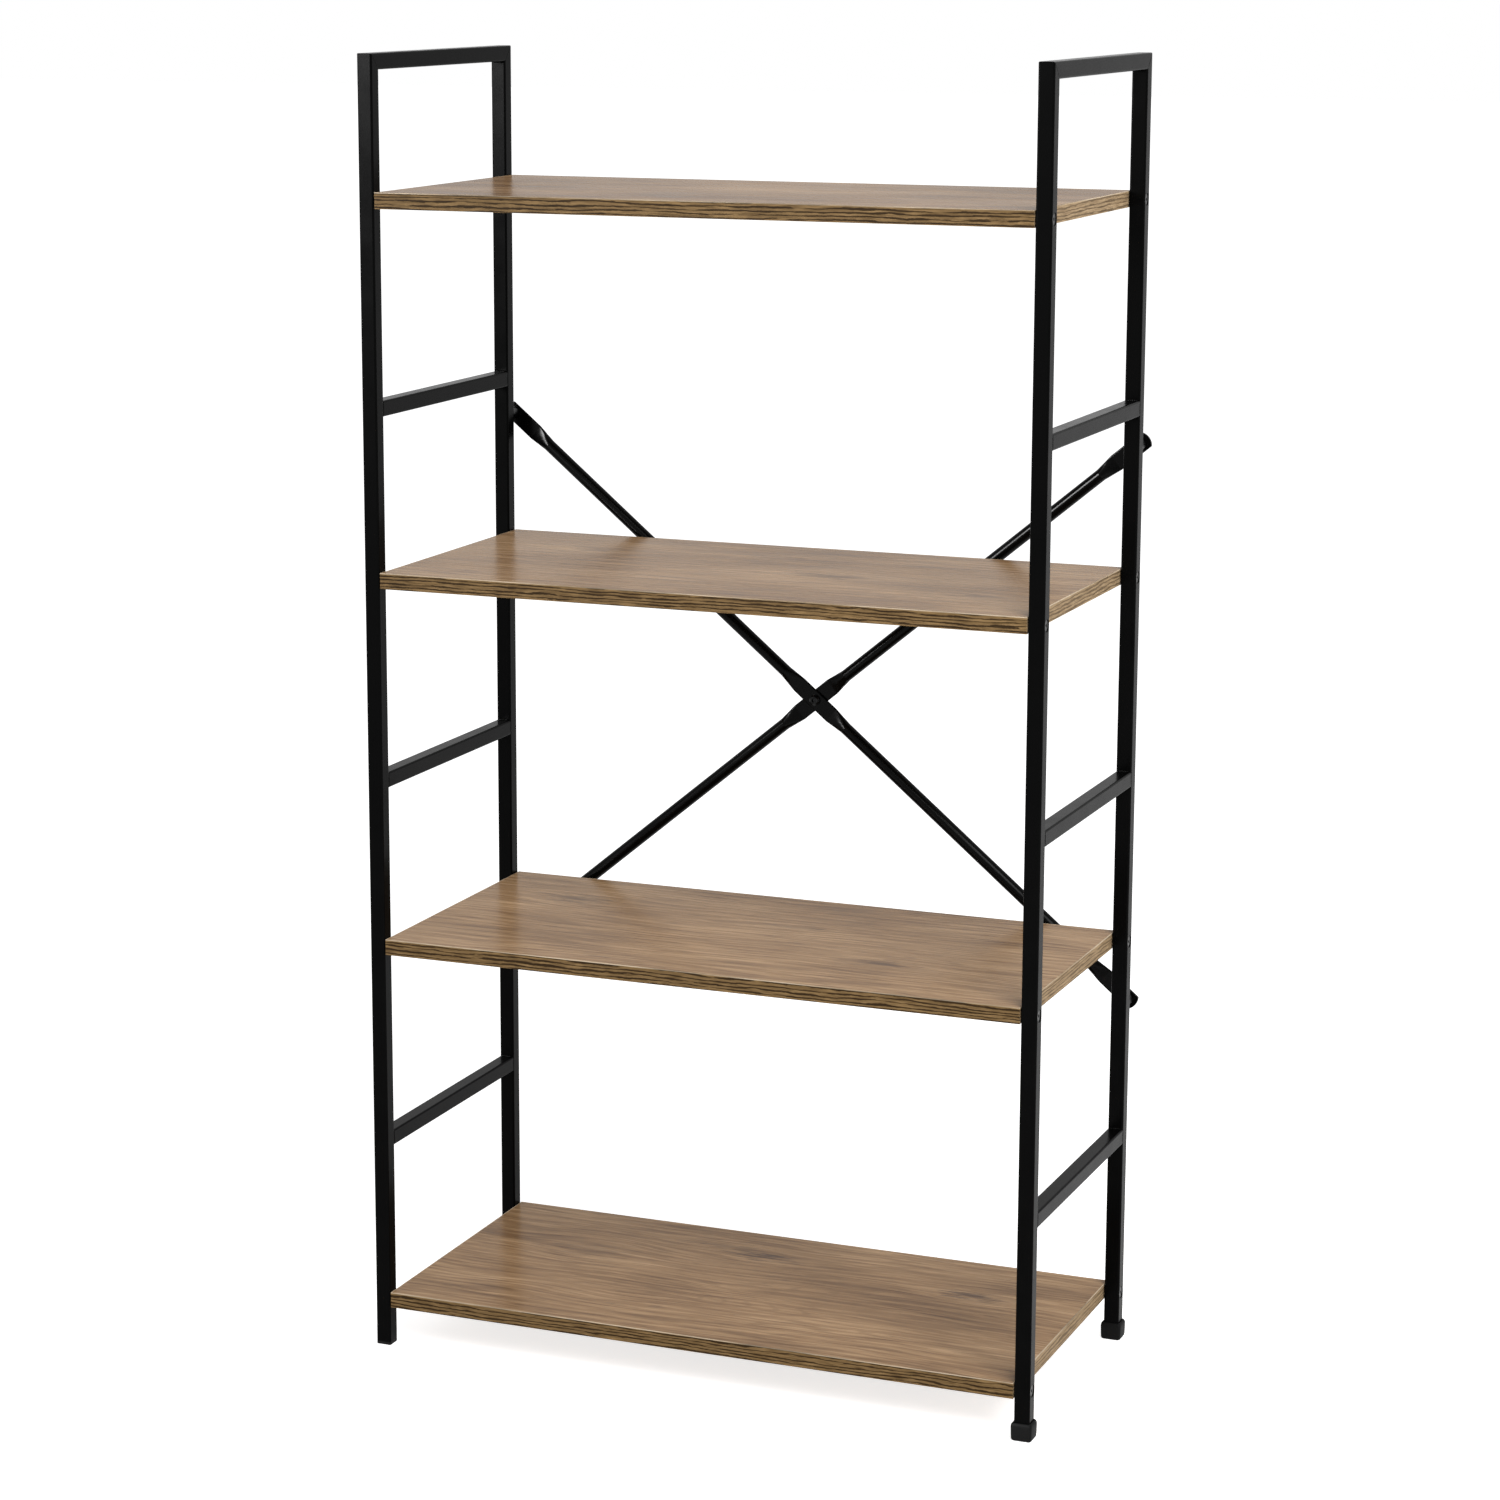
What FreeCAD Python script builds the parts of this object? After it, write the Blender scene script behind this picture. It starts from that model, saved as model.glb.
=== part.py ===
import FreeCAD
import Part
import Sketcher
import os
import re

# Four-tier shelving unit: two ladder frames of square steel tube, four
# laminated boards bolted between them and a crossed brace at the back.
# Millimetres; the floor is z = 0, the front faces -Y, +X is the right side.
SIZES = {
    # Whole unit
    "unit_width": 660,
    "unit_depth": 300,
    # Square tube of the ladder frames
    "tube_side": 15,
    "tube_wall": 1.2,
    "tube_corner_radius": 1.8,
    "rung_above_board": 151.5,
    "loop_above_board": 125,
    # Boards: floor to the lowest one's top face, and from one to the next
    "lowest_board_height": 54,
    "board_pitch": 351,
    "board_thickness": 15,
    "board_end_gap": 1,
    "band_thickness": 0.8,
    "band_joint_gap": 0.1,
    # Countersunk bolts that hold the boards, and their threaded inserts
    "board_bolt_diameter": 5,
    "board_bolt_head": 10,
    "board_bolt_engagement": 9,
    "board_bolt_clearance": 0.3,
    "board_bolt_socket": 3.4,
    "socket_depth": 1.8,
    "seat_rim_diameter": 12,
    "seat_clearance": 0.2,
    "insert_diameter": 8,
    "insert_length": 13,
    "insert_clearance": 0.05,
    "thread_clearance": 0.15,
    # Crossed brace of crimped round tube
    "brace_diameter": 12,
    "brace_flat_width": 16.8,
    "brace_flat_thickness": 2.4,
    "brace_end_flat": 30,
    "brace_middle_flat": 22,
    "brace_crimp": 19,
    "brace_tip_reach": 10,
    "brace_tip_bulge": 3.2,
    "brace_hole_above_board": 115,
    "brace_hole_below_board": 70,
    "brace_hole_clearance": 0.3,
    # Brace fasteners
    "brace_bolt_diameter": 6,
    "brace_bolt_head": 10.5,
    "brace_bolt_head_height": 3.3,
    "brace_bolt_dome_radius": 1.6,
    "brace_bolt_socket": 4.6,
    "brace_bolt_engagement": 7.6,
    "spacer_diameter": 12,
    "spacer_length": 15,
    "rivet_flange_diameter": 12,
    "rivet_flange_thickness": 1,
    "rivet_barrel_diameter": 9,
    "rivet_barrel_length": 10.5,
    "nut_across_corners": 11.5,
    "nut_height": 5,
    "bolt_end_proud": 1,
    # Feet
    "foot_floor": 3,
    "foot_clearance": 0.1,
    "cap_wall": 2.4,
    "cap_height": 17,
    "cap_corner_radius": 3,
    "cap_edge_radius": 1.6,
    "plug_edge_radius": 0.8,
    "plug_stem_length": 15,
    "plug_stem_wall": 1.6,
    # How far a cut runs past the face it starts from
    "cut_overrun": 1,
}
BOARDS = ("bottom", "lower", "upper", "top")
RUNGS = ("lower", "middle", "upper")

doc = FreeCAD.newDocument("shelving_unit")
sheet = doc.addObject("Spreadsheet::Sheet", "Sizes")
for row, (alias, value) in enumerate(SIZES.items(), start=1):
    sheet.set(f"A{row}", alias)
    sheet.set(f"B{row}", str(value))
    sheet.setAlias(f"B{row}", alias)
doc.recompute()

# Positions shared by several pieces, written with the names in the sheet.
BOARD_TOPS = [f"(lowest_board_height + {index} * board_pitch)" for index in range(len(BOARDS))]
FRAME_TOP = f"({BOARD_TOPS[-1]} + loop_above_board)"
FRAME_HEIGHT = f"({FRAME_TOP} - foot_floor)"
POST_X = "(unit_width - tube_side) / 2"
POST_Y = "(unit_depth - tube_side) / 2"
BOARD_HALF = "(unit_width / 2 - tube_side - board_end_gap)"
BRACE_PLANE = "(unit_depth / 2 + rivet_flange_thickness + spacer_length + brace_flat_thickness / 2)"
BRACE_HIGH = f"({BOARD_TOPS[2]} + brace_hole_above_board)"
BRACE_LOW = f"({BOARD_TOPS[1]} - brace_hole_below_board)"
BRACE_RISE = f"({BRACE_HIGH} - {BRACE_LOW})"
BRACE_RUN = "(unit_width - tube_side)"
HALF_SPAN = f"(hypot({BRACE_RISE}; {BRACE_RUN}) / 2)"
BRACE_MIDDLE = f"(({BRACE_HIGH} + {BRACE_LOW}) / 2)"
BRACE_HOLE = "(brace_bolt_diameter + 2 * brace_hole_clearance)"
HEAD_DEPTH = "(board_bolt_head - board_bolt_diameter) / 2"
BOARD_BOLT_HOLE = "(board_bolt_diameter + 2 * board_bolt_clearance)"
SEAT_DEPTH = f"(seat_rim_diameter - {BOARD_BOLT_HOLE}) / 2"
SEAT_RECESS = "((seat_rim_diameter - board_bolt_head) / 2 - seat_clearance)"
BOARD_BOLT_LENGTH = (
    f"(tube_side - {SEAT_RECESS} + board_end_gap + band_thickness + board_bolt_engagement)")
BRACE_BOLT_LENGTH = (
    "(brace_flat_thickness + spacer_length + rivet_flange_thickness + brace_bolt_engagement)")
# The nut at the crossing reaches furthest back and the foot caps furthest
# forward; everything moves by this much so that the origin is midway.
REAR_REACH = f"({BRACE_PLANE} + brace_flat_thickness + nut_height + bolt_end_proud)"
FRONT_REACH = "(unit_depth / 2 + foot_clearance + cap_wall)"
CENTRE_Y = f"(({FRONT_REACH} - {REAR_REACH}) / 2)"

pieces = []


def formula(text):
    """Turn names of sizes into references to the sheet."""
    def refer(word):
        return f"Sizes.{word.group()}" if word.group() in SIZES else word.group()
    return re.sub(r"[a-z]\w*", refer, text)


def bind(item, target, text):
    item.setExpression(target, formula(text))


def origin_part(body, role):
    return next(part for part in body.Origin.OriginFeatures if part.Role == role)


def new_body(label, hand_in=True):
    body = doc.addObject("PartDesign::Body", label)
    body.Label = label
    if hand_in:
        pieces.append(body)
    return body


def place(item, x, y, z, turn=None, axis=FreeCAD.Vector(0, 0, 1)):
    """Put an item at a bound position, turned by a bound angle about an axis."""
    item.Placement = FreeCAD.Placement(FreeCAD.Vector(), FreeCAD.Rotation(axis, 1))
    bind(item, "Placement.Base.x", x)
    bind(item, "Placement.Base.y", f"{y} + {CENTRE_Y}")
    bind(item, "Placement.Base.z", z)
    bind(item, "Placement.Rotation.Angle", turn or "0 deg")


def new_sketch(body, name, role, lift="0", up="0"):
    """Sketch on an origin plane, lifted along its normal and moved up within it."""
    sketch = body.newObject("Sketcher::SketchObject", name)
    sketch.AttachmentSupport = [(origin_part(body, role), "")]
    sketch.MapMode = "FlatFace"
    bind(sketch, "AttachmentOffset.Base.z", lift)
    bind(sketch, "AttachmentOffset.Base.y", up)
    return sketch


def spot(sketch, x, y):
    return FreeCAD.Vector(
        float(sketch.evalExpression(formula(x))),
        float(sketch.evalExpression(formula(y))),
    )


def hold(sketch, kind, geometry, point, text):
    """Hold one coordinate of a point: on the axis when zero, else at a bound distance."""
    if text == "0":
        line = -2 if kind == "DistanceX" else -1
        sketch.addConstraint(Sketcher.Constraint("PointOnObject", geometry, point, line))
        return
    value = float(sketch.evalExpression(formula(text)))
    index = sketch.addConstraint(Sketcher.Constraint(kind, -1, 1, geometry, point, value))
    bind(sketch, f"Constraints[{index}]", text)


def pin(sketch, geometry, point, x, y):
    hold(sketch, "DistanceX", geometry, point, x)
    hold(sketch, "DistanceY", geometry, point, y)


def join(sketch, geometry, point, other, other_point):
    sketch.addConstraint(
        Sketcher.Constraint("Coincident", geometry, point, other, other_point))


def polygon(sketch, corners):
    """Closed outline through corners given as pairs of sums."""
    points = [spot(sketch, x, y) for x, y in corners]
    first = sketch.GeometryCount
    for start, end in zip(points, points[1:] + points[:1]):
        sketch.addGeometry(Part.LineSegment(start, end))
    for index, (x, y) in enumerate(corners):
        following = (index + 1) % len(corners)
        join(sketch, first + index, 2, first + following, 1)
        pin(sketch, first + index, 1, x, y)


def rectangle(sketch, left, right, low, high):
    polygon(sketch, [(left, low), (right, low), (right, high), (left, high)])


def square(sketch, side):
    rectangle(sketch, f"-({side}) / 2", f"({side}) / 2", f"-({side}) / 2", f"({side}) / 2")


def size_arc(sketch, geometry, radius):
    value = float(sketch.evalExpression(formula(radius)))
    index = sketch.addConstraint(Sketcher.Constraint("Radius", geometry, value))
    bind(sketch, f"Constraints[{index}]", radius)


def circle(sketch, x, y, diameter):
    radius = float(sketch.evalExpression(formula(f"({diameter}) / 2")))
    index = sketch.addGeometry(
        Part.Circle(spot(sketch, x, y), FreeCAD.Vector(0, 0, 1), radius))
    pin(sketch, index, 3, x, y)
    size_arc(sketch, index, f"({diameter}) / 2")


def pad(body, sketch, length, both_ways=False, backwards=False):
    feature = body.newObject("PartDesign::Pad", sketch.Name + "_pad")
    feature.Profile = sketch
    feature.SideType = "Symmetric" if both_ways else "One side"
    feature.Reversed = backwards
    bind(feature, "Length", length)
    doc.recompute()
    body.Tip = feature
    return feature


def pocket(body, sketch, both_ways=False, backwards=False, depth=None):
    """Cut through, or to a bound depth, and make sure that something was cut."""
    before = body.Shape.Volume
    feature = body.newObject("PartDesign::Pocket", sketch.Name + "_pocket")
    feature.Profile = sketch
    feature.SideType = "Symmetric" if both_ways else "One side"
    feature.Reversed = backwards
    if depth:
        bind(feature, "Length", depth)
    else:
        feature.Type = "ThroughAll"
    doc.recompute()
    body.Tip = feature
    if not body.Shape.Volume < before:
        raise ValueError(f"{feature.Name} cut nothing")
    return feature


def turned(body, sketch, kind):
    """Revolution or Groove about the sketch's horizontal axis."""
    feature = body.newObject("PartDesign::" + kind, sketch.Name + "_turned")
    feature.Profile = sketch
    feature.ReferenceAxis = (sketch, ["H_Axis"])
    doc.recompute()
    body.Tip = feature
    return feature


def row_of(body, features, role, length, count):
    feature = body.newObject("PartDesign::LinearPattern", body.Name + "_row")
    feature.Originals = features
    feature.Direction = (origin_part(body, role), [""])
    feature.Occurrences = count
    bind(feature, "Length", length)
    body.Tip = feature
    doc.recompute()
    return feature


def mirror(body, features, role):
    """Repeat features, or the whole shape when none are named, across a plane."""
    feature = body.newObject("PartDesign::Mirrored", body.Name + "_mirrored")
    if features:
        feature.Originals = features
    else:
        feature.TransformMode = "Whole shape"
    feature.MirrorPlane = (origin_part(body, role), [""])
    body.Tip = feature
    doc.recompute()
    return feature


def soften(body, radius, wanted):
    """Round the straight edges that pass a test on their middle and direction."""
    base = body.Tip
    names = []
    for index, edge in enumerate(base.Shape.Edges, start=1):
        if edge.Curve.TypeId != "Part::GeomLine":
            continue
        run = edge.Vertexes[-1].Point - edge.Vertexes[0].Point
        if wanted(edge.CenterOfMass, run):
            names.append(f"Edge{index}")
    feature = body.newObject("PartDesign::Fillet", body.Name + "_fillet")
    feature.Base = (base, names)
    bind(feature, "Radius", radius)
    doc.recompute()
    body.Tip = feature
    return feature


def value_of(text):
    return float(sheet.evalExpression(formula(text)))


def tube_sketch(body, role):
    sketch = new_sketch(body, body.Name + "_section", role)
    square(sketch, "tube_side")
    square(sketch, "tube_side - 2 * tube_wall")
    return sketch


def round_tube_corners(body, along):
    """Round the four long outer corners of a tube that runs along an axis."""
    outer = value_of("tube_side / 2 - tube_wall / 2")

    def wanted(middle, run):
        across = [abs(middle[i]) for i in range(3) if i != along]
        return abs(abs(run[along]) - run.Length) < run.Length / 1e6 and min(across) > outer
    soften(body, "tube_corner_radius", wanted)


# Posts. Each is drawn with its outer side to +X; inward is +1 when the inner
# side of the ladder frame lies towards +Y in the drawing and -1 otherwise.
def make_post(label, inward, rear, x, y, turn):
    body = new_body(label)
    pad(body, tube_sketch(body, "XY_Plane"), FRAME_HEIGHT)
    round_tube_corners(body, 2)

    mitre = new_sketch(body, label + "_mitre", "YZ_Plane")
    outer = f"{-inward} * tube_side / 2"
    inner = f"{inward} * (tube_side / 2 + cut_overrun)"
    polygon(mitre, [
        (outer, FRAME_HEIGHT),
        (inner, f"{FRAME_HEIGHT} - tube_side - cut_overrun"),
        (inner, f"{FRAME_HEIGHT} + cut_overrun"),
        (outer, f"{FRAME_HEIGHT} + cut_overrun"),
    ])
    pocket(body, mitre, both_ways=True)

    # Pressed countersunk seat and the bolt's way through both walls.
    level = f"{BOARD_TOPS[0]} - board_thickness / 2 - foot_floor"
    face = "tube_side / 2"
    cup = new_sketch(body, label + "_seat_cup", "XZ_Plane", up=level)
    bulge = "tube_wall * (sqrt(2) - 1)"
    polygon(cup, [
        (f"{face} - tube_wall / 2", "0"),
        (f"{face} - tube_wall / 2", "seat_rim_diameter / 2"),
        (f"{face} - tube_wall", f"seat_rim_diameter / 2 + {bulge}"),
        (f"{face} - {SEAT_DEPTH} - tube_wall", f"{BOARD_BOLT_HOLE} / 2 + {bulge}"),
        (f"{face} - {SEAT_DEPTH} - tube_wall", "0"),
    ])
    cup_feature = turned(body, cup, "Revolution")
    way = new_sketch(body, label + "_bolt_way", "XZ_Plane", up=level)
    polygon(way, [
        (f"{face} + cut_overrun", "0"),
        (f"{face} + cut_overrun", "seat_rim_diameter / 2 + cut_overrun"),
        (f"{face} - {SEAT_DEPTH}", f"{BOARD_BOLT_HOLE} / 2"),
        (f"-{face} - cut_overrun", f"{BOARD_BOLT_HOLE} / 2"),
        (f"-{face} - cut_overrun", "0"),
    ])
    before = body.Shape.Volume
    way_feature = turned(body, way, "Groove")
    if not body.Shape.Volume < before:
        raise ValueError(f"{label} has no way for the bolts")
    row_of(body, [cup_feature, way_feature], "Z_Axis",
           f"{len(BOARDS) - 1} * board_pitch", len(BOARDS))

    if rear:
        hole = new_sketch(body, label + "_rivet_hole", "XZ_Plane",
                          up=f"{BRACE_LOW} - foot_floor")
        circle(hole, "0", "0", "rivet_barrel_diameter + 2 * insert_clearance")
        cut = pocket(body, hole, backwards=inward > 0)
        row_of(body, [cut], "Z_Axis", BRACE_RISE, 2)
    place(body, x, y, "foot_floor", turn)


make_post("right_front_post", 1, False, POST_X, f"-{POST_Y}", "0 deg")
make_post("right_rear_post", -1, True, POST_X, POST_Y, "0 deg")
make_post("left_front_post", -1, False, f"-{POST_X}", f"-{POST_Y}", "180 deg")
make_post("left_rear_post", 1, True, f"-{POST_X}", POST_Y, "180 deg")


# Top rails, mitred to the posts, and rungs, butted between them.
def make_cross_tube(label, length, mitred):
    body = new_body(label)
    pad(body, tube_sketch(body, "XZ_Plane"), length, both_ways=True)
    round_tube_corners(body, 1)
    if mitred:
        ends = new_sketch(body, label + "_mitres", "YZ_Plane")
        for side in ("-1", "1"):
            tip = f"{side} * ({length} / 2)"
            past = f"{side} * ({length} / 2 + cut_overrun)"
            foot = f"{side} * ({length} / 2 - tube_side - cut_overrun)"
            below = "-tube_side / 2 - cut_overrun"
            polygon(ends, [(tip, "tube_side / 2"), (past, "tube_side / 2"),
                           (past, below), (foot, below)])
        pocket(body, ends, both_ways=True)
    return body


for side, x in (("left", f"-{POST_X}"), ("right", POST_X)):
    rail = make_cross_tube(f"{side}_top_rail", "unit_depth", True)
    place(rail, x, "0", f"{FRAME_TOP} - tube_side / 2")
    for index, name in enumerate(RUNGS):
        rung = make_cross_tube(f"{side}_{name}_rung", "(unit_depth - 2 * tube_side)", False)
        place(rung, x, "0", f"{BOARD_TOPS[index]} + rung_above_board")


# Boards: a core with bores for the inserts and strips of edge band around it.
def make_board(label):
    body = new_body(label)
    core = new_sketch(body, label + "_core", "XY_Plane")
    half_x = f"({BOARD_HALF} - band_thickness)"
    half_y = "(unit_depth / 2 - band_thickness)"
    rectangle(core, f"-{half_x}", half_x, f"-{half_y}", half_y)
    pad(body, core, "board_thickness")
    bores = new_sketch(body, label + "_bores", "YZ_Plane", lift=f"{half_x} - insert_length")
    for sign in ("-1", "1"):
        circle(bores, f"{sign} * {POST_Y}", "board_thickness / 2",
               "insert_diameter + 2 * insert_clearance")
    cut = pocket(body, bores, backwards=True)
    mirror(body, [cut], "YZ_Plane")
    return body


def make_bands(label):
    body = new_body(label)
    strips = new_sketch(body, label + "_strips", "XY_Plane")
    inner_x = f"({BOARD_HALF} - band_thickness)"
    inner_y = "(unit_depth / 2 - band_thickness)"
    end_y = f"({inner_y} - band_joint_gap)"
    rectangle(strips, f"-{BOARD_HALF}", BOARD_HALF, "-unit_depth / 2", f"-{inner_y}")
    rectangle(strips, f"-{BOARD_HALF}", BOARD_HALF, inner_y, "unit_depth / 2")
    rectangle(strips, f"-{BOARD_HALF}", f"-{inner_x}", f"-{end_y}", end_y)
    rectangle(strips, inner_x, BOARD_HALF, f"-{end_y}", end_y)
    pad(body, strips, "board_thickness")
    ways = new_sketch(body, label + "_bolt_ways", "YZ_Plane")
    for sign in ("-1", "1"):
        circle(ways, f"{sign} * {POST_Y}", "board_thickness / 2", BOARD_BOLT_HOLE)
    pocket(body, ways, both_ways=True)
    return body


for index, name in enumerate(BOARDS):
    under = f"{BOARD_TOPS[index]} - board_thickness"
    place(make_board(f"{name}_shelf_board"), "0", "0", under)
    place(make_bands(f"{name}_shelf_edge_bands"), "0", "0", under)


# Fasteners are drawn once, head towards +X, and linked wherever they are used.
def hex_socket(body, across, depth, face="0"):
    socket = body.newObject("PartDesign::SubtractivePrism", body.Name + "_socket")
    socket.AttachmentSupport = [(origin_part(body, "YZ_Plane"), "")]
    socket.MapMode = "FlatFace"
    socket.Polygon = 6
    bind(socket, "Circumradius", f"{across} / 2")
    bind(socket, "Height", f"{depth} + cut_overrun")
    bind(socket, "AttachmentOffset.Base.z", f"{face} - {depth}")
    body.Tip = socket
    doc.recompute()


def turned_master(name, corners):
    body = new_body(name, hand_in=False)
    profile = new_sketch(body, name + "_profile", "XZ_Plane")
    polygon(profile, corners)
    turned(body, profile, "Revolution")
    return body


board_bolt = turned_master("board_bolt", [
    ("0", "0"),
    ("0", "board_bolt_head / 2"),
    (f"-{HEAD_DEPTH}", "board_bolt_diameter / 2"),
    (f"-{BOARD_BOLT_LENGTH}", "board_bolt_diameter / 2"),
    (f"-{BOARD_BOLT_LENGTH}", "0"),
])
hex_socket(board_bolt, "board_bolt_socket", "socket_depth")

bore = "board_bolt_diameter / 2 + thread_clearance"
board_insert = turned_master("board_insert", [
    ("0", bore),
    ("0", "insert_diameter / 2"),
    ("-insert_length", "insert_diameter / 2"),
    ("-insert_length", bore),
])

brace_bolt_corners = [
    ("brace_bolt_head_height", "0"),
    ("brace_bolt_head_height", "brace_bolt_head / 2 - brace_bolt_dome_radius"),
    ("brace_bolt_head_height - brace_bolt_dome_radius", "brace_bolt_head / 2"),
    ("0", "brace_bolt_head / 2"),
    ("0", "brace_bolt_diameter / 2"),
]


def make_brace_bolt(name, length):
    body = turned_master(name, brace_bolt_corners + [
        (f"-({length})", "brace_bolt_diameter / 2"),
        (f"-({length})", "0"),
    ])
    hex_socket(body, "brace_bolt_socket", "socket_depth", "brace_bolt_head_height")
    return body


brace_bolt = make_brace_bolt("brace_bolt", BRACE_BOLT_LENGTH)
centre_bolt = make_brace_bolt(
    "centre_bolt", "2 * brace_flat_thickness + nut_height + bolt_end_proud")

thread = "brace_bolt_diameter / 2 + thread_clearance"
spacer = turned_master("spacer", [
    ("0", f"{BRACE_HOLE} / 2"),
    ("0", "spacer_diameter / 2"),
    ("-spacer_length", "spacer_diameter / 2"),
    ("-spacer_length", f"{BRACE_HOLE} / 2"),
])
rivet_nut = turned_master("rivet_nut", [
    ("rivet_flange_thickness", thread),
    ("rivet_flange_thickness", "rivet_flange_diameter / 2"),
    ("0", "rivet_flange_diameter / 2"),
    ("0", "rivet_barrel_diameter / 2"),
    ("-rivet_barrel_length", "rivet_barrel_diameter / 2"),
    ("-rivet_barrel_length", thread),
])

centre_nut = new_body("centre_nut", hand_in=False)
nut_prism = centre_nut.newObject("PartDesign::AdditivePrism", "nut_prism")
nut_prism.AttachmentSupport = [(origin_part(centre_nut, "YZ_Plane"), "")]
nut_prism.MapMode = "FlatFace"
nut_prism.Polygon = 6
bind(nut_prism, "Circumradius", "nut_across_corners / 2")
bind(nut_prism, "Height", "nut_height")
centre_nut.Tip = nut_prism
doc.recompute()
nut_bore = new_sketch(centre_nut, "nut_bore", "YZ_Plane")
circle(nut_bore, "0", "0", f"2 * ({thread})")
pocket(centre_nut, nut_bore, backwards=True)


def group(label, master, places):
    """One node of several like fasteners at bound places (x, y, z, turn)."""
    links = []
    for index, (x, y, z, turn) in enumerate(places, start=1):
        link = doc.addObject("App::Link", f"{label}_{index}")
        link.LinkedObject = master
        link.LinkTransform = False
        place(link, x, y, z, turn)
        links.append(link)
    node = doc.addObject("Part::Compound", label)
    node.Label = label
    node.Links = links
    pieces.append(node)
    doc.recompute()


ENDS = (("", "0 deg"), ("-", "180 deg"))
for index, name in enumerate(BOARDS):
    level = f"{BOARD_TOPS[index]} - board_thickness / 2"
    bolt_x = f"(unit_width / 2 - {SEAT_RECESS})"
    insert_x = f"({BOARD_HALF} - band_thickness)"
    sides = [(end, row, turn) for end, turn in ENDS for row in ("-", "")]
    group(f"{name}_shelf_bolts", board_bolt,
          [(end + bolt_x, row + POST_Y, level, turn) for end, row, turn in sides])
    group(f"{name}_shelf_inserts", board_insert,
          [(end + insert_x, row + POST_Y, level, turn) for end, row, turn in sides])

# Brace fasteners point to the back: a quarter turn takes their heads to +Y.
HOLES = [(end + POST_X, height) for end in ("-", "")
         for height in (BRACE_LOW, BRACE_HIGH)]
flange_face = "unit_depth / 2 + rivet_flange_thickness"
group("brace_rivet_nuts", rivet_nut,
      [(x, "unit_depth / 2", height, "90 deg") for x, height in HOLES])
group("brace_spacers", spacer,
      [(x, f"{flange_face} + spacer_length", height, "90 deg") for x, height in HOLES])
group("brace_bolts", brace_bolt,
      [(x, f"{BRACE_PLANE} + brace_flat_thickness / 2", height, "90 deg") for x, height in HOLES])
group("brace_centre_bolt", centre_bolt,
      [("0", f"{BRACE_PLANE} - brace_flat_thickness", BRACE_MIDDLE, "-90 deg")])
group("brace_centre_nut", centre_nut,
      [("0", f"{BRACE_PLANE} + brace_flat_thickness", BRACE_MIDDLE, "90 deg")])


# Brace: a round tube pressed flat at both ends and at the crossing. One half
# is drawn along +X from the crossing and mirrored.
def round_section(body, name, lift):
    sketch = new_sketch(body, name, "YZ_Plane", lift=lift)
    far = "brace_diameter / 2 * sqrt(0.5)"
    near = f"-{far}"
    corners = [(far, near), (far, far), (near, far), (near, near)]
    crowns = [("brace_diameter / 2", "0"), ("0", "brace_diameter / 2"),
              ("-brace_diameter / 2", "0"), ("0", "-brace_diameter / 2")]
    for index, crown in enumerate(crowns):
        start = spot(sketch, *corners[index])
        end = spot(sketch, *corners[(index + 1) % 4])
        sketch.addGeometry(Part.Arc(start, spot(sketch, *crown), end))
        join(sketch, index, 3, -1, 1)
    for index in range(3):
        join(sketch, index, 2, index + 1, 1)
    for index in range(4):
        hold(sketch, "DistanceY", index, 1, corners[index][1])
    hold(sketch, "DistanceY", 3, 2, corners[0][1])
    size_arc(sketch, 0, "brace_diameter / 2")
    return sketch


def flat_section(body, name, lift, aside):
    """Pressed section: two flats and two round edges, moved aside in depth."""
    sketch = new_sketch(body, name, "YZ_Plane", lift=lift)
    front = f"({aside}) - brace_flat_thickness / 2"
    back = f"({aside}) + brace_flat_thickness / 2"
    high = "(brace_flat_width - brace_flat_thickness) / 2"
    low = f"-{high}"
    crest = "brace_flat_width / 2"
    sketch.addGeometry(Part.LineSegment(spot(sketch, back, low), spot(sketch, back, high)))
    sketch.addGeometry(Part.Arc(
        spot(sketch, back, high), spot(sketch, aside, crest), spot(sketch, front, high)))
    sketch.addGeometry(Part.LineSegment(spot(sketch, front, high), spot(sketch, front, low)))
    sketch.addGeometry(Part.Arc(
        spot(sketch, front, low), spot(sketch, aside, f"-{crest}"), spot(sketch, back, low)))
    pin(sketch, 0, 1, back, low)
    pin(sketch, 0, 2, back, high)
    pin(sketch, 2, 1, front, high)
    pin(sketch, 2, 2, front, low)
    for index in range(4):
        join(sketch, index, 2, (index + 1) % 4, 1)
    hold(sketch, "DistanceY", 1, 3, high)
    hold(sketch, "DistanceY", 3, 3, low)
    return sketch


def crimp(body, name, start, end):
    """Ruled passage from one section to the other."""
    feature = body.newObject("PartDesign::AdditiveLoft", name)
    feature.Profile = start
    feature.Sections = [end]
    feature.Ruled = True
    doc.recompute()
    body.Tip = feature


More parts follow.
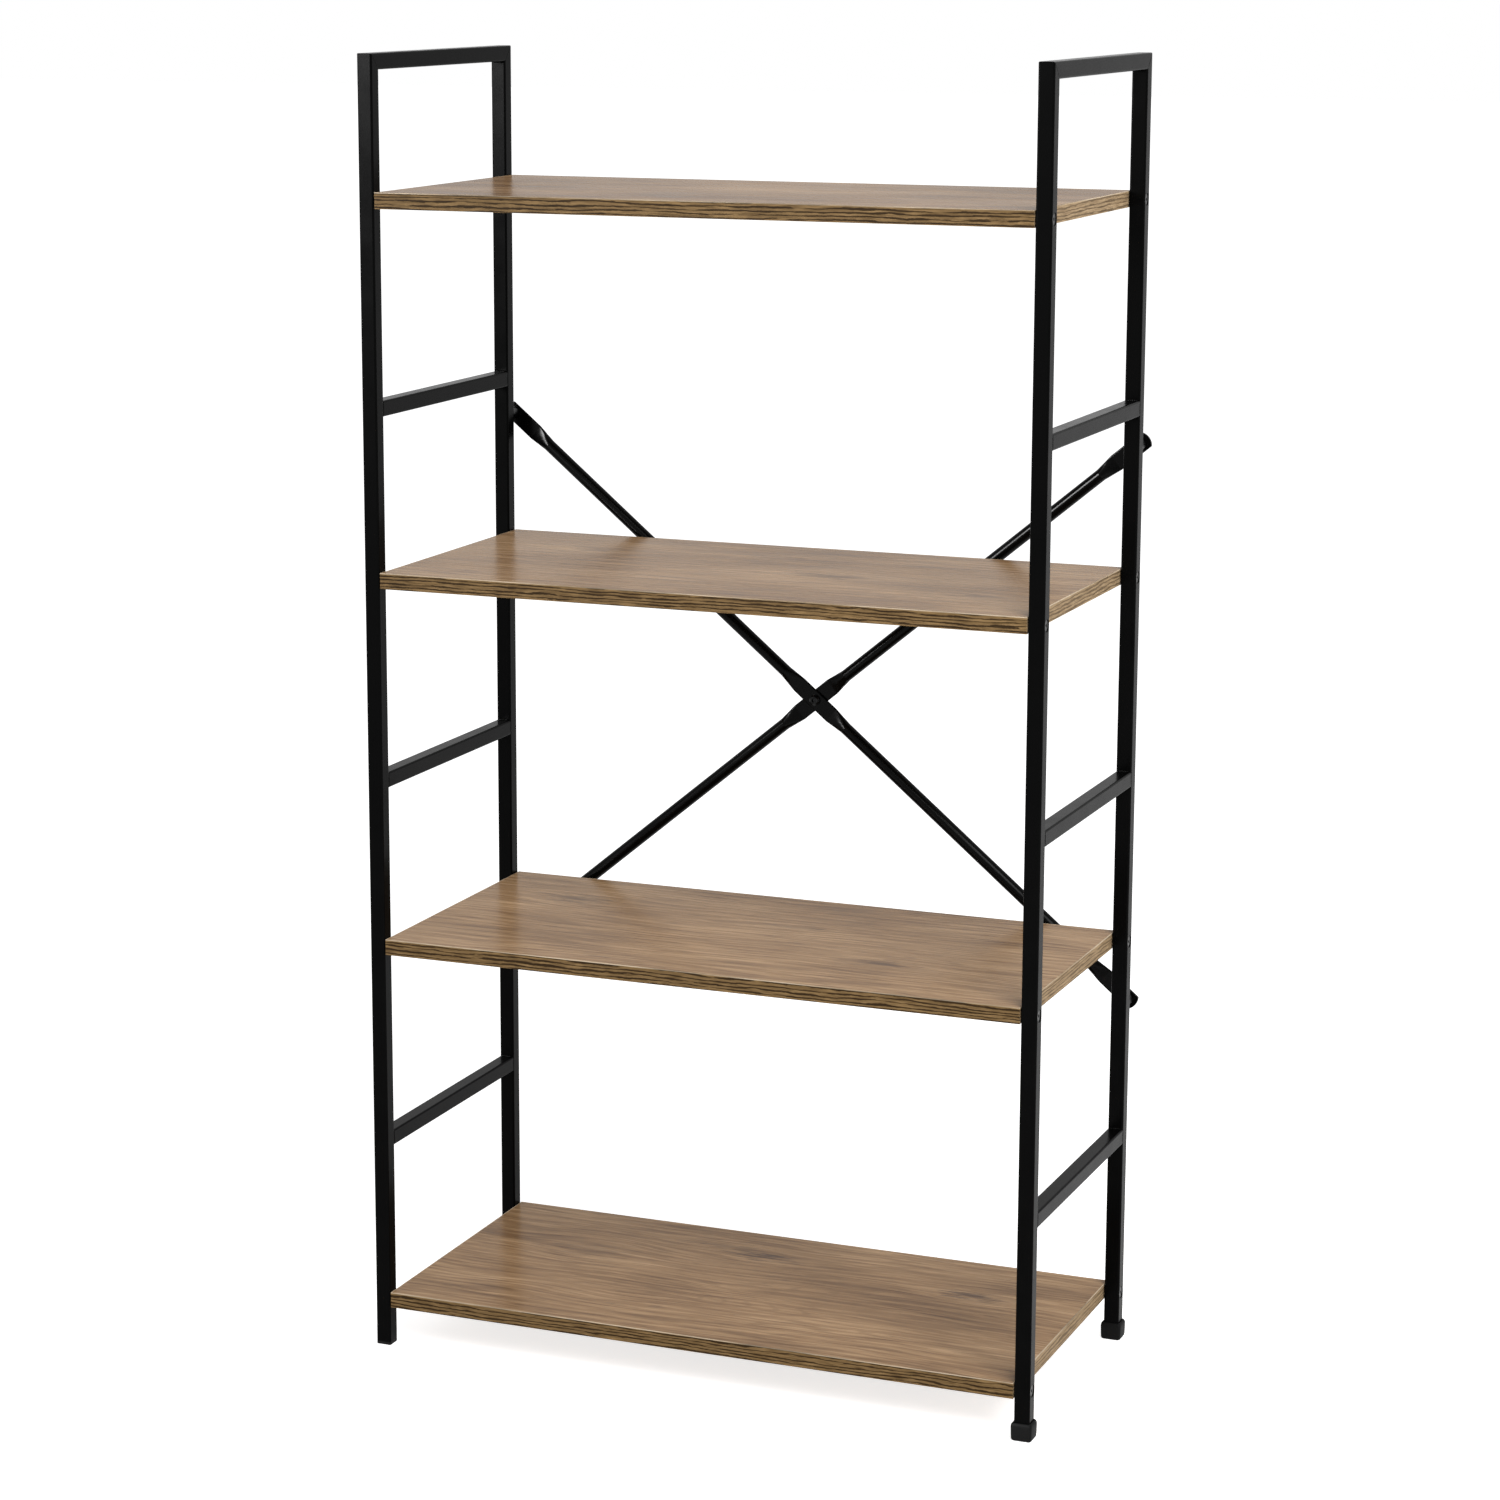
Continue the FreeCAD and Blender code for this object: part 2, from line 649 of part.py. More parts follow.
def trim_tip(body, label):
    """Cut the end of the tab to a shallow arc."""
    sketch = new_sketch(body, label + "_tip", "XZ_Plane")
    half = "brace_flat_width / 2"
    radius = f"((pow({half}; 2) + pow(brace_tip_bulge; 2)) / (2 * brace_tip_bulge))"
    middle = f"{HALF_SPAN} + brace_tip_reach - {radius}"
    apex = f"{HALF_SPAN} + brace_tip_reach"
    reach = f"({half} + cut_overrun)"
    corner = f"{middle} + sqrt(pow({radius}; 2) - pow({reach}; 2))"
    past = f"{apex} + cut_overrun"
    low = f"-{reach}"
    sketch.addGeometry(Part.Arc(
        spot(sketch, corner, low), spot(sketch, apex, "0"), spot(sketch, corner, reach)))
    sketch.addGeometry(Part.LineSegment(spot(sketch, corner, reach), spot(sketch, past, reach)))
    sketch.addGeometry(Part.LineSegment(spot(sketch, past, reach), spot(sketch, past, low)))
    sketch.addGeometry(Part.LineSegment(spot(sketch, past, low), spot(sketch, corner, low)))
    pin(sketch, 0, 3, middle, "0")
    size_arc(sketch, 0, radius)
    hold(sketch, "DistanceY", 0, 1, low)
    hold(sketch, "DistanceY", 0, 2, reach)
    for index in range(4):
        join(sketch, index, 2, (index + 1) % 4, 1)
    pin(sketch, 2, 1, past, reach)
    pin(sketch, 2, 2, past, low)
    pocket(body, sketch, both_ways=True)


def make_brace(label, aside, lean):
    body = new_body(label)
    neck = "brace_middle_flat + brace_crimp"
    shoulder = f"{HALF_SPAN} - brace_end_flat - brace_crimp"
    tab = f"{HALF_SPAN} - brace_end_flat"
    middle_flat = flat_section(body, label + "_middle_flat", "brace_middle_flat", aside)
    inner_round = round_section(body, label + "_inner_round", neck)
    outer_round = round_section(body, label + "_outer_round", shoulder)
    end_flat = flat_section(body, label + "_end_flat", tab, "0")
    pad(body, inner_round, f"{shoulder} - ({neck})")
    crimp(body, label + "_inner_crimp", inner_round, middle_flat)
    crimp(body, label + "_outer_crimp", outer_round, end_flat)
    pad(body, middle_flat, "brace_middle_flat", backwards=True)
    pad(body, end_flat, "brace_end_flat + brace_tip_reach")
    trim_tip(body, label)
    mirror(body, [], "YZ_Plane")
    holes = new_sketch(body, label + "_holes", "XZ_Plane")
    for x in (f"-{HALF_SPAN}", "0", HALF_SPAN):
        circle(holes, x, "0", BRACE_HOLE)
    pocket(body, holes, both_ways=True)
    place(body, "0", BRACE_PLANE, BRACE_MIDDLE,
          f"{lean} * atan2({BRACE_RISE}; {BRACE_RUN})", FreeCAD.Vector(0, 1, 0))


make_brace("rising_brace", "brace_flat_thickness / 2", "-1")
make_brace("falling_brace", "-brace_flat_thickness / 2", "1")


# Feet: push-on caps under the right legs, plugs flush with the left ones.
def upright(middle, run):
    return abs(abs(run.z) - run.Length) < run.Length / 1e6


def make_cap(label, x, y):
    body = new_body(label)
    outside = "tube_side + 2 * (foot_clearance + cap_wall)"
    block = new_sketch(body, label + "_block", "XY_Plane")
    square(block, outside)
    pad(body, block, "cap_height")
    soften(body, "cap_corner_radius", upright)
    round_floor_edges(body, "cap_edge_radius")
    well = new_sketch(body, label + "_well", "XY_Plane", lift="foot_floor")
    square(well, "tube_side + 2 * foot_clearance")
    pocket(body, well, backwards=True)
    place(body, x, y, "0")


def round_floor_edges(body, radius):
    base = body.Tip
    names = [f"Edge{index}" for index, edge in enumerate(base.Shape.Edges, start=1)
             if abs(edge.BoundBox.ZMax) < edge.Length / 1e6]
    feature = body.newObject("PartDesign::Fillet", body.Name + "_floor_fillet")
    feature.Base = (base, names)
    bind(feature, "Radius", radius)
    doc.recompute()
    body.Tip = feature


def make_plug(label, x, y):
    body = new_body(label)
    flange = new_sketch(body, label + "_flange", "XY_Plane")
    square(flange, "tube_side")
    pad(body, flange, "foot_floor")
    soften(body, "tube_corner_radius", upright)
    round_floor_edges(body, "plug_edge_radius")
    stem = new_sketch(body, label + "_stem", "XY_Plane", lift="foot_floor")
    stem_side = "tube_side - 2 * (tube_wall + foot_clearance)"
    square(stem, stem_side)
    square(stem, f"{stem_side} - 2 * plug_stem_wall")
    pad(body, stem, "plug_stem_length")
    place(body, x, y, "0")


make_cap("right_front_foot_cap", POST_X, f"-{POST_Y}")
make_cap("right_rear_foot_cap", POST_X, POST_Y)
make_plug("left_front_foot_plug", f"-{POST_X}", f"-{POST_Y}")
make_plug("left_rear_foot_plug", f"-{POST_X}", POST_Y)

doc.recompute()
for item in doc.Objects:
    if "Invalid" in item.State or "Error" in item.State:
        raise ValueError(f"{item.Label} did not build: {item.State}")
for piece in pieces:
    if piece.Shape.isNull() or not piece.Shape.isValid():
        raise ValueError(f"{piece.Label} has no sound shape")

os.makedirs("parts", exist_ok=True)
for piece in pieces:
    piece.Shape.exportStep(f"parts/{piece.Label}.step")
    print(piece.Label, len(piece.Shape.Solids), round(piece.Shape.Volume))
print("pieces", len(pieces))
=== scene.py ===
# %% [markdown]
# # A four-tier shelving unit, dressed for the camera
#
# The object is an open shelving unit: two black ladder frames of square steel
# tube, four oak-look boards bolted between them and a crossed brace of crimped
# round tube at the back. The CAD frame already holds every tube, board and bolt
# at its real size, so this lesson is about what CAD can't give: the camera, the
# studio, the finishes and the small marks of making, such as welds.

# %% Load the CAD frame
import math

import bmesh
import bpy
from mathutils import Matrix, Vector


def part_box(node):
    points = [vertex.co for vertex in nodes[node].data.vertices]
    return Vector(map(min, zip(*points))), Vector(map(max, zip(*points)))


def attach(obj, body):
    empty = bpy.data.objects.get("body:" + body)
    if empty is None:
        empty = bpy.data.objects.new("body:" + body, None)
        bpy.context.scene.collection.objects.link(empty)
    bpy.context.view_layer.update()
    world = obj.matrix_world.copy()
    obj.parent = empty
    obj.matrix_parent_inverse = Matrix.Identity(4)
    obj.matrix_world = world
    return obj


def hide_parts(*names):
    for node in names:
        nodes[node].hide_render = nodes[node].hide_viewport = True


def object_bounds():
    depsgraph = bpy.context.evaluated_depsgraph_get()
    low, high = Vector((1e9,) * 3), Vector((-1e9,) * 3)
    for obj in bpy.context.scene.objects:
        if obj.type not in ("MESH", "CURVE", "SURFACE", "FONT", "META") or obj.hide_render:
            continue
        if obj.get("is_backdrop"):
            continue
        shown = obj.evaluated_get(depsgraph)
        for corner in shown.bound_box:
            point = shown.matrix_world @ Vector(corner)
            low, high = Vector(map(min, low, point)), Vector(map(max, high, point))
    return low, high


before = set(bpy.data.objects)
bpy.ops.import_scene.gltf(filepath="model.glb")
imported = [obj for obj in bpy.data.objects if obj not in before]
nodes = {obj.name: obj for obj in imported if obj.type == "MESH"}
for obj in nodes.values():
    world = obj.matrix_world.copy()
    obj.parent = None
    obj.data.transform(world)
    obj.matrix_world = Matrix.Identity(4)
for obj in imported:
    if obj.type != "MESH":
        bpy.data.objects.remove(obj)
cad_low, cad_high = (Vector(corner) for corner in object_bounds())
print("nodes", len(nodes), "box", [round(v, 3) for v in cad_high - cad_low])

# %% [markdown]
# ## The camera
#
# The photograph looks down on the unit from its right front corner, from a little
# above the top rail. A camera can be set by hand until the lines agree, but the
# edges of the posts and boards give it more surely: their places in the picture
# were measured and the camera was fitted to them. A long lens far away keeps the
# tubes nearly parallel, and a little shift sets the unit in the frame. The shift
# stays small because every other view keeps it.

# %% Set up the camera
camera_place = Vector((1.3171, -3.3584, 1.3312))
camera_aim = Vector((-0.0796, -0.0116, 0.6001))
camera_data = bpy.data.cameras.new("studio_camera")
camera_data.sensor_width = 36
camera_data.lens = 93.58
camera_data.shift_x = 0.05
camera_data.shift_y = -0.015
camera = bpy.data.objects.new("studio_camera", camera_data)
camera.location = camera_place
camera.rotation_euler = (camera_aim - camera_place).to_track_quat("-Z", "Y").to_euler()
bpy.context.collection.objects.link(camera)
bpy.context.scene.camera = camera
bpy.context.scene.view_settings.view_transform = "Standard"
print("camera looks down by", round(90 - math.degrees(camera.rotation_euler.x), 1), "degrees")

# %% [markdown]
# ## A helper for nodes
#
# Floor, world and finishes are all trees of nodes. Writing each node out takes
# three or four lines, so one small function makes a node, sets its options and
# fills its sockets, either with a number or with another node's output. A second
# one is for the node used most often, which does sums.

# %% Make node trees short to write
def add(tree, kind, sockets=None, **options):
    made = tree.nodes.new("ShaderNode" + kind)
    for option, value in options.items():
        setattr(made, option, value)
    for socket, value in (sockets or {}).items():
        if isinstance(value, bpy.types.NodeSocket):
            tree.links.new(value, made.inputs[socket])
        else:
            made.inputs[socket].default_value = value
    return made


def sums(tree, operation, first, second=0.0):
    return add(tree, "Math", {0: first, 1: second}, operation=operation).outputs[0]


print("node helpers ready")

# %% [markdown]
# ## The floor
#
# The unit was photographed on seamless white, so the floor is a plain pale sheet.
# A sheet lit until it burns out would also light the unit from below. Instead the
# sheet glows only for rays that see it, and what the lamp adds to it is what the
# unit's shadow takes away. It lies a hair below the feet: two faces at the same
# height would fight over the picture.

# %% Lay the floor
FLOOR_SIZE = 60
FLOOR_DROP = 0.0002
FLOOR_GLOW = 0.74


def seen_directly(tree):
    rays = add(tree, "LightPath").outputs
    seen = sums(tree, "MAXIMUM", rays["Is Camera Ray"], rays["Is Glossy Ray"])
    return sums(tree, "MAXIMUM", seen, rays["Is Transmission Ray"])


def flat_sheet(name, size):
    mesh = bpy.data.meshes.new(name)
    form = bmesh.new()
    bmesh.ops.create_grid(form, x_segments=1, y_segments=1, size=0.5)
    form.to_mesh(mesh)
    form.free()
    sheet = bpy.data.objects.new(name, mesh)
    sheet.scale = (size, size, 1)
    bpy.context.collection.objects.link(sheet)
    sheet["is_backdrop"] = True
    return sheet


floor = flat_sheet("pale_floor", FLOOR_SIZE)
floor.location.z = cad_low.z - FLOOR_DROP
floor_finish = bpy.data.materials.new("pale_paper")
floor_finish.use_nodes = True
paper = floor_finish.node_tree
paper.nodes.clear()
matt = add(paper, "BsdfDiffuse", {"Color": (0.86, 0.86, 0.86, 1)})
glow_level = sums(paper, "MULTIPLY", seen_directly(paper), FLOOR_GLOW)
glow = add(paper, "Emission", {"Color": (1, 1, 1, 1), "Strength": glow_level})
both = add(paper, "AddShader", {0: matt.outputs[0], 1: glow.outputs[0]})
add(paper, "OutputMaterial", {"Surface": both.outputs[0]})
floor.data.materials.append(floor_finish)
print("floor of", FLOOR_SIZE, "m at height", round(floor.location.z, 4))

# %% [markdown]
# ## The white room
#
# A studio has white walls, and the black tubes show it: their sheen is the white
# room mirrored. A world picture could stand for the room, but plain white is
# enough. It has its full strength only where the camera or a reflection looks. For
# the light that falls on the unit it has half, or nothing would look shaded.

# %% Paint the world white
world = bpy.data.worlds.new("white_studio")
world.use_nodes = True
bpy.context.scene.world = world
sky = world.node_tree
sky.nodes.clear()
level = add(sky, "MapRange", {"Value": seen_directly(sky), "To Min": 0.5, "To Max": 1.0})
white = add(sky, "Background", {"Color": (1, 1, 1, 1), "Strength": level.outputs[0]})
add(sky, "OutputWorld", {"Surface": white.outputs[0]})
print("world:", world.name)

# %% [markdown]
# ## The softboxes
#
# One big softbox stands to the right of the camera: the right ends of the boards
# are the brightest edges in the picture. A second one at the left is only there to
# be mirrored: it gives the tops of the left posts their grey sheen, and it is
# hidden from matt surfaces so that it adds no light to them.

# %% Hang the softboxes
def softbox(name, place, aim, width, height, power):
    lamp = bpy.data.lights.new(name, "AREA")
    lamp.shape = "RECTANGLE"
    lamp.size = width
    lamp.size_y = height
    lamp.energy = power
    box = bpy.data.objects.new(name, lamp)
    box.location = place
    box.rotation_euler = (Vector(aim) - Vector(place)).to_track_quat("-Z", "Y").to_euler()
    bpy.context.collection.objects.link(box)
    return box


main = softbox(
    "right_softbox", place=(2.2, -2.3, 2.9), aim=(0, 0, 0.5), width=2.4, height=1.8, power=150)
sheen = softbox(
    "left_sheen_softbox", place=(-1.85, -2.85, 1.87), aim=(-0.32, -0.05, 1.2),
    width=1.0, height=1.1, power=380)
sheen.visible_diffuse = False
print("softboxes:", main.name, sheen.name)

# %% [markdown]
# ## What every finish starts from
#
# A finish is a material: a pattern in shades of grey, a ramp that turns the
# pattern into colours, and a shader that makes a surface of it. A pattern can be
# laid on a piece like a sheet of paper, but then it has seams. Here it fills space,
# measured in metres from the unit's own origin, and each piece is cut out of it.

# %% Start and wire a finish
def new_finish(name):
    finish = bpy.data.materials.new(name)
    finish.use_nodes = True
    tree = finish.node_tree
    shader = tree.nodes["Principled BSDF"]
    here = add(tree, "TexCoord").outputs["Object"]
    return finish, tree, shader, here


def ramp(tree, value, stops):
    made = add(tree, "ValToRGB", {"Fac": value})
    elements = made.color_ramp.elements
    while len(elements) < len(stops):
        elements.new(0.5)
    for element, (place, tone) in zip(elements, stops):
        element.position = place
        element.color = (*tone, 1)
    return made.outputs["Color"]


def grey(value):
    return (value, value, value)


def wire(tree, shader, colour, rough, bump=None):
    tree.links.new(colour, shader.inputs["Base Color"])
    tree.links.new(rough, shader.inputs["Roughness"])
    if bump is not None:
        tree.links.new(bump.outputs[0], shader.inputs["Normal"])


print("finish helpers ready")

# %% [markdown]
# ## Black powder coat
#
# Frame and brace are powder coated: dry paint is blown on and baked, and it sets
# with a fine orange-peel skin and a soft sheen. Plain black paint would look like
# a hole in the picture. A fine bump breaks up the sheen, and a slow change of
# roughness makes one length of tube a little duller than the next.

# %% Mix the powder coat
def powder_coat(name, tone, gloss, dull, shine, peel):
    finish, tree, shader, here = new_finish(name)
    clouds = add(tree, "TexNoise", {"Vector": here, "Scale": 38, "Detail": 3}).outputs["Fac"]
    skin = add(tree, "TexNoise", {"Vector": here, "Scale": 1300, "Detail": 2}).outputs["Fac"]
    colour = ramp(tree, clouds, [(0.3, grey(tone * 0.8)), (0.7, grey(tone * 1.25))])
    rough = add(tree, "MapRange", {
        "Value": clouds, "From Min": 0.3, "From Max": 0.7, "To Min": dull, "To Max": shine})
    bump = add(tree, "Bump", {"Height": skin, "Strength": peel, "Distance": 0.0001})
    wire(tree, shader, colour, rough.outputs[0], bump)
    shader.inputs["Specular IOR Level"].default_value = gloss
    return finish


frame_coat = powder_coat(
    "frame_powder_coat", tone=0.0015, gloss=0.02, dull=0.27, shine=0.21, peel=0.25)
brace_coat = powder_coat(
    "brace_powder_coat", tone=0.0015, gloss=0.05, dull=0.24, shine=0.17, peel=0.15)
print("powder coats:", frame_coat.name, brace_coat.name)

# %% [markdown]
# ## Oak-look boards
#
# The boards are chipboard under a printed oak paper. The print has grain along
# the length, slow bands of lighter and darker brown, short hairlines, fine pores
# and a few smoky knots. A picture of wood would be one way; here noise draws it,
# so each board gets its own print from its own number. Noise turns into grain
# when it is squeezed across the board much more than along it.

# %% Squeeze the noise into grain
# Each kind: marks in a metre along the grain and across it, then the noise's detail and roughness.
GRAIN = {
    "sway": (3.4, 8, 2, 0.5),
    "clouds": (3.6, 13, 3, 0.55),
    "streaks": (10, 170, 4, 0.58),
    "hairs": (11, 310, 3, 0.6),
    "patches": (6, 16, 2, 0.5),
    "rings": (2.6, 11, 1, 0.4),
    "arch_places": (3.1, 7, 1, 0.5),
    "pores": (30, 520, 2, 0.5),
    "cracks": (12, 130, 3, 0.6),
    "smoke": (24, 300, 4, 0.65),
}


def stretched(tree, vector, along, across, up=1.0):
    return add(tree, "VectorMath", {0: vector, 1: (along, across, up)}, operation="MULTIPLY").outputs[0]


def noise(tree, vector, detail, rough):
    return add(tree, "TexNoise", {
        "Vector": vector, "Scale": 1.0, "Detail": detail, "Roughness": rough}).outputs["Fac"]


def centred(tree, value):
    return sums(tree, "SUBTRACT", value, 0.5)


def grain(tree, vector, kind):
    along, across, detail, rough = GRAIN[kind]
    return noise(tree, stretched(tree, vector, along, across), detail, rough)


print("kinds of grain:", ", ".join(GRAIN))

# %% [markdown]
# ## Marks out of noise
#
# Noise is cloudy everywhere, but a pore or a hairline is either there or not. So
# each kind of mark takes a slice of its noise. On one side of the slice there is
# no mark, on the other side there is the whole mark, and in between it fades. A
# hard cut would be simpler, but it leaves jagged edges.

# %% Cut marks out of the noise
# The slice from one level of the noise to another, and the mark's strength at both.
LEVELS = {
    "smoke": (0.3, 0.7, -0.6, 1.1),
    "patches": (0.36, 0.58, 0.35, 1.0),
    "dark_hairs": (0.53, 0.64, 0.0, 0.9),
    "light_hairs": (0.36, 0.47, 0.9, 0.0),
    "arch_crests": (0.55, 1.0, 0.0, 1.0),
    "arch_breaks": (0.4, 0.62, 0.0, 1.0),
    "arch_places": (0.52, 0.66, 0.0, 0.4),
    "pores": (0.61, 0.72, 0.0, 1.0),
    "cracks": (0.63, 0.72, 0.0, 0.5),
    "dullness": (0.3, 0.7, 0.22, 0.3),
}


def spread(tree, value, low, high, to_low=0.0, to_high=1.0):
    return add(tree, "MapRange", {
        "Value": value, "From Min": low, "From Max": high,
        "To Min": to_low, "To Max": to_high}, interpolation_type="SMOOTHSTEP").outputs[0]


def cut(tree, value, kind):
    return spread(tree, value, *LEVELS[kind])


print("kinds of marks:", ", ".join(LEVELS))

# %% [markdown]
# ## Grain that flows round the knots
#
# A knot is where a branch left the trunk, and the grain parts to flow round it.
# A knot could be stamped on top of straight grain, but then it looks like a spill.
# So each knot first pushes the grain aside, by less and less with distance, and a
# ragged smoke of dark streaks is drawn over the place. A slow noise sways the
# rest of the grain, or it would look ruled.

# %% Bend the grain
# How far on each next board is cut from the endless sheet, along and across, in metres.
SHEET_STEP = (1.7, 0.83)
SWAY_REACH = 0.034
KNOT_PUSH = 0.55
KNOT_HALO = 0.055
# Where each effect of a knot starts to fade and where it ends, counted in the knot's own half sizes.
PUSH_ZONE = (0.2, 2.6)
MARK_ZONE = (0.45, 1.35)
HALO_ZONE = (0.9, 2.6)


def reach_of(tree, here, place, length, width):
    away = add(tree, "VectorMath", {0: here, 1: (*place, 0)}, operation="SUBTRACT").outputs[0]
    oval = stretched(tree, away, 1 / length, 1 / width, 0)
    return add(tree, "VectorMath", {0: oval}, operation="LENGTH").outputs["Value"]


def bend_grain(tree, here, number, knots):
    flat = stretched(tree, here, 1, 1, 0)
    start = (number * SHEET_STEP[0], number * SHEET_STEP[1], 0)
    sheet = add(tree, "VectorMath", {0: flat, 1: start}).outputs[0]
    bend = sums(tree, "MULTIPLY", centred(tree, grain(tree, sheet, "sway")), SWAY_REACH)
    smoke = cut(tree, grain(tree, sheet, "smoke"), "smoke")
    across = add(tree, "SeparateXYZ", {"Vector": here}).outputs["Y"]
    marks = 0.0
    halo = 0.0
    for place, length, width, depth in knots:
        reach = reach_of(tree, here, place, length, width)
        push = spread(tree, reach, *PUSH_ZONE, KNOT_PUSH, 0.0)
        off = sums(tree, "SUBTRACT", place[1], across)
        bend = sums(tree, "ADD", bend, sums(tree, "MULTIPLY", push, off))
        ragged = sums(tree, "ADD", reach, smoke)
        marks = sums(tree, "MAXIMUM", marks, spread(tree, ragged, *MARK_ZONE, depth, 0.0))
        halo = sums(tree, "MAXIMUM", halo, spread(tree, reach, *HALO_ZONE, depth * KNOT_HALO, 0.0))
    aside = add(tree, "CombineXYZ", {"Y": bend}).outputs[0]
    bent = add(tree, "VectorMath", {0: sheet, 1: aside}).outputs[0]
    return sheet, bent, marks, halo


print("grain sways by up to", SWAY_REACH / 2 * 1000, "mm and bends round the knots")

# %% [markdown]
# ## Inks
#
# A printed paper is made with a few inks, one over the other, and the nodes work
# the same way. Some inks cover what is below them. The hairlines are better as a
# tint that only darkens or lightens the ground: painted in one colour they would
# lie on it like fur.

# %% Set the inks
OAK = {
    "light": (0.45, 0.293, 0.162),
    "middle": (0.305, 0.185, 0.094),
    "deep": (0.15, 0.083, 0.039),
    "knot": (0.065, 0.038, 0.026),
    "cream": (0.62, 0.5, 0.36),
}
DARKER = (0.6, 0.55, 0.51)
LIGHTER = (1.3, 1.34, 1.4)


def blend(tree, share, first, second, way="MIX"):
    made = add(tree, "Mix", data_type="RGBA", blend_type=way)
    for socket, value in zip(("Factor_Float", "A_Color", "B_Color"), (share, first, second)):
        target = next(s for s in made.inputs if s.identifier == socket)
        if isinstance(value, bpy.types.NodeSocket):
            tree.links.new(value, target)
        else:
            target.default_value = value
    return next(s for s in made.outputs if s.identifier == "Result_Color")


def ink(tree, colour, share, paint):
    return blend(tree, share, colour, (*paint, 1))


def tint(tree, colour, share, paint):
    return blend(tree, share, colour, (*paint, 1), "MULTIPLY")


print("inks:", ", ".join(OAK))

# %% [markdown]
# ## The ground and its hairlines
#
# The first layer is the ground: slow clouds and quicker streaks, added up and
# turned into deep, middle and light brown. Over it come light and dark hairlines,
# thicker in some patches than in others. One even layer of hairlines would be less
# work, but real grain is crowded in one place and calm in the next.

# %% Print the ground and the hairlines
CLOUD_SHARE = 0.45
STREAK_SHARE = 0.55


def ground(tree, bent, streaks, halo_and_painted_light):
    clouds = sums(tree, "MULTIPLY", grain(tree, bent, "clouds"), CLOUD_SHARE)
    tone = sums(tree, "ADD", clouds, sums(tree, "MULTIPLY", streaks, STREAK_SHARE))
    tone = sums(tree, "ADD", tone, halo_and_painted_light)
    return ramp(tree, tone, [(0.35, OAK["deep"]), (0.5, OAK["middle"]), (0.65, OAK["light"])])


def add_hairs(tree, colour, sheet, bent):
    hairs = grain(tree, bent, "hairs")
    patches = cut(tree, grain(tree, sheet, "patches"), "patches")
    for kind, paint in (("dark_hairs", DARKER), ("light_hairs", LIGHTER)):
        colour = tint(tree, colour, sums(tree, "MULTIPLY", patches, cut(tree, hairs, kind)), paint)
    return colour


print("ground:", CLOUD_SHARE, "clouds and", STREAK_SHARE, "streaks")

# %% [markdown]
# ## The whole paper
#
# Then come the arched lines of a board sawn off the side of a trunk, the pores, a
# few cracks, and the knots last. The arches could be drawn as curves. Here they are
# the contour lines of a slow noise, like the lines on a map of hills, and they show
# only in a few places. The pores are pressed into the paper, so they also make the
# bump.

# %% Print the oak paper
RING_FOLDS = 150
PORE_INK = 0.6


def arched_lines(tree, sheet, bent, streaks):
    folds = sums(tree, "MULTIPLY", grain(tree, bent, "rings"), RING_FOLDS)
    crests = cut(tree, sums(tree, "SINE", folds), "arch_crests")
    arches = sums(tree, "MULTIPLY", crests, cut(tree, streaks, "arch_breaks"))
    return sums(tree, "MULTIPLY", arches, cut(tree, grain(tree, sheet, "arch_places"), "arch_places"))


def oak_paper(name, number, knots, gloss, board_painted_light):
    finish, tree, shader, here = new_finish(name)
    sheet, bent, marks, halo = bend_grain(tree, here, number, knots)
    streaks = grain(tree, bent, "streaks")
    # The ground's tone is shifted by the knots' halos and by the board's painted light and shade.
    colour = ground(tree, bent, streaks, sums(tree, "ADD", halo, board_painted_light))
    colour = add_hairs(tree, colour, sheet, bent)
    colour = ink(tree, colour, arched_lines(tree, sheet, bent, streaks), OAK["deep"])
    pores = cut(tree, grain(tree, bent, "pores"), "pores")
    colour = ink(tree, colour, sums(tree, "MULTIPLY", pores, PORE_INK), OAK["deep"])
    colour = ink(tree, colour, cut(tree, grain(tree, bent, "cracks"), "cracks"), OAK["knot"])
    colour = ink(tree, colour, marks, OAK["knot"])
    bump = add(tree, "Bump", {"Height": pores, "Strength": 0.12, "Distance": 0.0001}, invert=True)
    wire(tree, shader, colour, cut(tree, streaks, "dullness"), bump)
    shader.inputs["Specular IOR Level"].default_value = gloss
    return finish


print("oak paper: ground, hairlines, arches, pores, cracks and knots")

# %% [markdown]
# ## Four boards, four prints
#
# No two boards have quite the same print. Each gets its own knots, roughly where
# the photograph shows the largest ones, and is painted a little lighter or darker
# than the next: painted light and shade for how the softbox falls on each board,
# and on the top board painted shade for the colour its grazing sheen takes away.
# The gloss differs too: the lower a board lies, the more steeply it is seen and
# the more gloss its sheen needs.

# %% Choose the knots, gloss and painted light and shade of each board
# Each knot: its place on the board, its half length and half width, how dark it is.
KNOTS = {
    "bottom": [((-0.019, 0.074), 0.034, 0.013, 0.8), ((0.205, 0.044), 0.030, 0.012, 0.8),
               ((-0.186, 0.028), 0.045, 0.024, 0.35), ((-0.06, 0.088), 0.05, 0.007, 0.4)],
    "lower": [((-0.209, 0.055), 0.042, 0.018, 0.55), ((0.145, -0.063), 0.036, 0.010, 0.6),
              ((0.02, 0.03), 0.05, 0.007, 0.4)],
    "upper": [((0.075, -0.016), 0.044, 0.017, 0.6), ((-0.19, 0.05), 0.036, 0.016, 0.4),
              ((0.235, -0.07), 0.03, 0.010, 0.45)],
    "top": [((-0.21, -0.02), 0.038, 0.014, 0.4), ((0.12, 0.05), 0.034, 0.012, 0.45)],
}
GLOSS = {"bottom": 0.038, "lower": 0.026, "upper": 0.022, "top": 0.009}
# Painted light and shade: how much lighter or darker each board's brown is painted for how the light
# falls on it.
BOARD_PAINTED_LIGHT = {"bottom": -0.006, "lower": 0.028, "upper": 0.0, "top": -0.06}
print("knots on the four boards:", sum(len(places) for places in KNOTS.values()))

